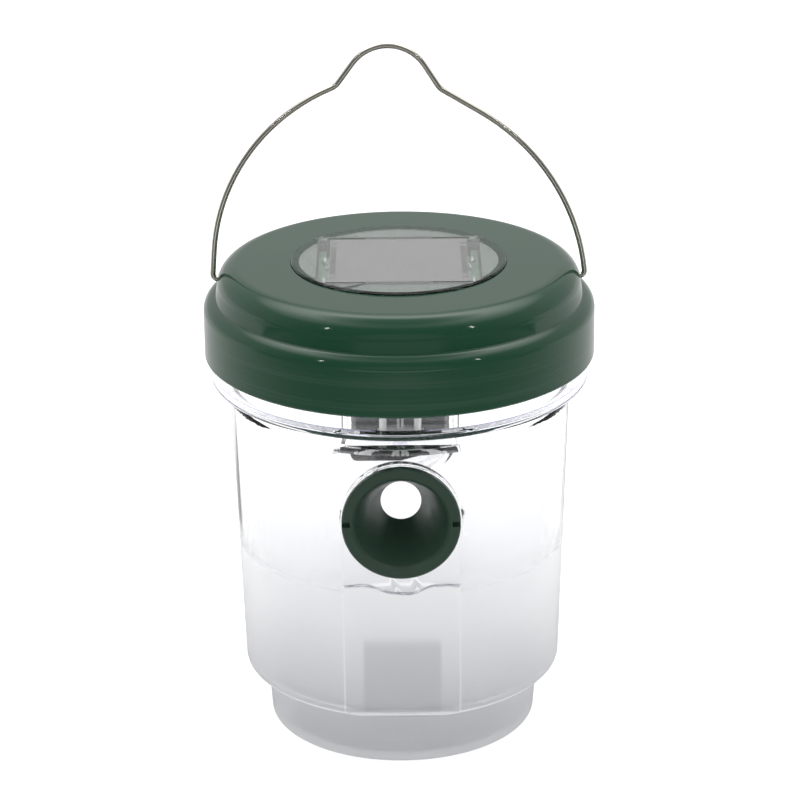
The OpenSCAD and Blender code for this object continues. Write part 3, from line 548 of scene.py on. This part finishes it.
def make_stage():
    """A wide pale floor under the jar."""
    mesh = bpy.data.meshes.new("floor")
    half = 30.0
    mesh.from_pydata([(-half, -half, 0), (half, -half, 0), (half, half, 0), (-half, half, 0)],
                     [], [(0, 1, 2, 3)])
    floor = bpy.data.objects.new("floor", mesh)
    scene.collection.objects.link(floor)
    s = Shader("floor")
    x, y, _ = s.axes()
    tone = s.mix(s.noise(3.0, 3.0), grey(0.90), grey(0.92))
    s.set(Base_Color=tone, Roughness=0.9, Specular_IOR_Level=0.1)
    s.set(Emission_Color=grey(1.0), Emission_Strength=FLOOR_GLOW)
    # The studio is dark in front of the table, which only the gloss of the object shows
    glow = s.nodes.new("ShaderNodeEmission")
    tone = s.mix(s.step(y, -0.35, 0.25), grey(FLOOR_FRONT_GLOSS), grey(FLOOR_BACK_GLOSS))
    # A bright patch in front, which the wire's middle mirrors
    patch = s.math("MULTIPLY", s.band(y, PATCH_Y, PATCH_HALF_DEPTH), s.band(x, 0.0, PATCH_HALF_WIDTH))
    s.link(s.mix(patch, tone, grey(FLOOR_PATCH_GLOSS)), glow.inputs["Color"])
    shown = mix_shader(s.tree, mirrored_ray(s.tree), s.bsdf.outputs[0], glow.outputs[0])
    s.link(shown, s.out.inputs["Surface"])
    mesh.materials.append(s.material)


def area_light(name, place, target, size, power, mirrored=False):
    data = bpy.data.lights.new(name, "AREA")
    data.shape = "RECTANGLE"
    data.size, data.size_y = size
    data.energy = power
    lamp = bpy.data.objects.new(name, data)
    lamp.location = place
    lamp.rotation_mode = "QUATERNION"
    lamp.rotation_quaternion = (Vector(target) - Vector(place)).to_track_quat("-Z", "Y")
    lamp.visible_glossy = mirrored
    scene.collection.objects.link(lamp)


def make_world():
    """White all round for what is seen directly or through the jar, darker in front for gloss."""
    world = bpy.data.worlds.new("studio")
    scene.world = world
    world.use_nodes = True
    tree = world.node_tree
    tree.nodes.clear()
    out = tree.nodes.new("ShaderNodeOutputWorld")
    place = tree.nodes.new("ShaderNodeTexCoord")
    axes = tree.nodes.new("ShaderNodeSeparateXYZ")
    tree.links.new(place.outputs["Generated"], axes.inputs[0])
    ramp = tree.nodes.new("ShaderNodeMapRange")
    ramp.interpolation_type = "SMOOTHSTEP"
    tree.links.new(axes.outputs["Y"], ramp.inputs["Value"])
    ramp.inputs["From Min"].default_value = DARK_END
    ramp.inputs["From Max"].default_value = BRIGHT_START
    ramp.inputs["To Min"].default_value = WORLD_FRONT
    ramp.inputs["To Max"].default_value = WORLD_BACK
    soft = tree.nodes.new("ShaderNodeBackground")
    # A broad bright band high up behind the jar, which the front of the lid's plateau mirrors
    band = tree.nodes.new("ShaderNodeValToRGB")
    tree.links.new(axes.outputs["Z"], band.inputs["Fac"])
    for height, shade in ((BAND_LOW, 0.0), (BAND_MIDDLE, BAND_GLOW), (BAND_HIGH, 0.0)):
        stop = band.color_ramp.elements.new(height)
        stop.color = grey(shade)
    for end in (0, -1):
        band.color_ramp.elements[end].color = grey(0.0)
    glow = tree.nodes.new("ShaderNodeMath")
    glow.operation = "MULTIPLY_ADD"
    tree.links.new(band.outputs["Color"], glow.inputs[0])
    tree.links.new(ramp.outputs["Result"], glow.inputs[1])
    tree.links.new(ramp.outputs["Result"], glow.inputs[2])
    # A dim upright strip straight in front: the wire's middle and the lid's front mirror it
    strip = tree.nodes.new("ShaderNodeMapRange")
    strip.interpolation_type = "SMOOTHSTEP"
    tree.links.new(axes.outputs["Y"], strip.inputs["Value"])
    strip.inputs["From Min"].default_value = STRIP_FULL
    strip.inputs["From Max"].default_value = STRIP_END
    strip.inputs["To Min"].default_value = STRIP_GLOW
    strip.inputs["To Max"].default_value = 0.0
    total = tree.nodes.new("ShaderNodeMath")
    tree.links.new(glow.outputs[0], total.inputs[0])
    tree.links.new(strip.outputs["Result"], total.inputs[1])
    tree.links.new(total.outputs[0], soft.inputs["Strength"])
    white = tree.nodes.new("ShaderNodeBackground")
    for shade in (soft, white):
        shade.inputs["Color"].default_value = grey(1.0)
    final = mix_shader(tree, mirrored_ray(tree), white.outputs[0], soft.outputs[0])
    tree.links.new(final, out.inputs["Surface"])
    # Without this the world is sampled as a lamp, which can't tell one kind of ray from another
    world.cycles.sampling_method = "NONE"


def make_light():
    middle = (0.0, 0.0, 0.1)
    area_light("top_softbox", (0.0, 0.25, 1.5), middle, (1.6, 1.2), TOP_POWER)
    area_light("left_softbox", (-1.5, -0.5, 0.9), middle, (0.5, 1.0), SIDE_POWER)
    area_light("right_softbox", (1.5, -0.5, 0.9), middle, (0.5, 1.0), SIDE_POWER)
    # Slim lamps whose mirror images are the short glints on the lid's shoulders
    for side in (-1, 1):
        area_light("strip_left" if side < 0 else "strip_right", (side * 1.05, -0.95, 0.95), middle,
                   (0.03, 0.22), STRIP_POWER, mirrored=True)
    make_world()
    scene.view_settings.view_transform = "Standard"
    scene.cycles.max_bounces = 24
    scene.cycles.transmission_bounces = 20
    scene.cycles.transparent_max_bounces = 24
    scene.cycles.caustics_reflective = False
    scene.cycles.caustics_refractive = False


make_stage()
make_light()
